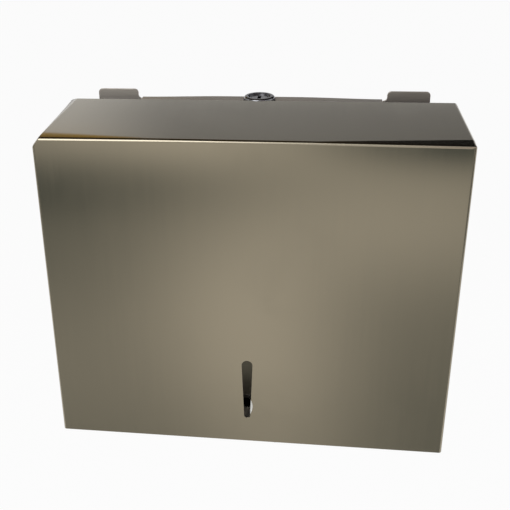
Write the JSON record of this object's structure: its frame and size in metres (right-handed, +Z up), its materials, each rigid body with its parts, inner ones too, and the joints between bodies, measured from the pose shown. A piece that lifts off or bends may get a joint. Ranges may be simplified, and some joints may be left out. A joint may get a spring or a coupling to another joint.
{
  "type": "folded paper towel dispenser",
  "caption": "Wall-mounted steel dispenser for folded paper towels, with a sight slot, a cover that swings forward, a bottom mouth and a top cam lock.",
  "frame": {"origin": "middle of the four wall screws, on the wall plane", "axes": "+X to the viewer's right along the width, +Y into the wall, +Z up"},
  "size_m": [0.28, 0.118, 0.234],
  "materials": {
    "cover_steel": "vertical brushed grain",
    "body_steel": "brushed grain",
    "rivet_steel": "plain turned",
    "lock_chrome": "polished plating",
    "lock_zinc": "zinc plated",
    "black_rubber": "matte",
    "washer_nylon": "matte"
  },
  "bodies": {
    "body": {"back_body": "body_steel", "towel_tray": "body_steel", "hinge_rivet_left": "rivet_steel", "hinge_rivet_right": "rivet_steel", "hinge_washer_left": "washer_nylon", "hinge_washer_right": "washer_nylon", "tray_rivets_left": "rivet_steel", "tray_rivets_right": "rivet_steel", "lock_body": "lock_chrome", "lock_gasket": "black_rubber", "lock_tooth_washer": "lock_zinc", "lock_nut": "lock_zinc", "cover_pad_left": "black_rubber", "cover_pad_right": "black_rubber"},
    "cover": {"front_cover": "cover_steel", "keeper_stud": "rivet_steel"},
    "lock_core": {"lock_plug": "lock_chrome", "lock_cam": "lock_zinc", "cam_washer": "lock_zinc", "cam_screw": "lock_zinc"}
  },
  "joints": [
    {"name": "cover_swing", "type": "hinge", "parent": "body", "child": "cover", "pos_m": [0, -0.1105, -0.106], "axis": [1, 0, 0], "range_deg": [0, 90]},
    {"name": "lock_turn", "type": "hinge", "parent": "body", "child": "lock_core", "pos_m": [0, -0.012, 0.1], "axis": [0, 0, -1], "range_deg": [0, 90]}
  ]
}
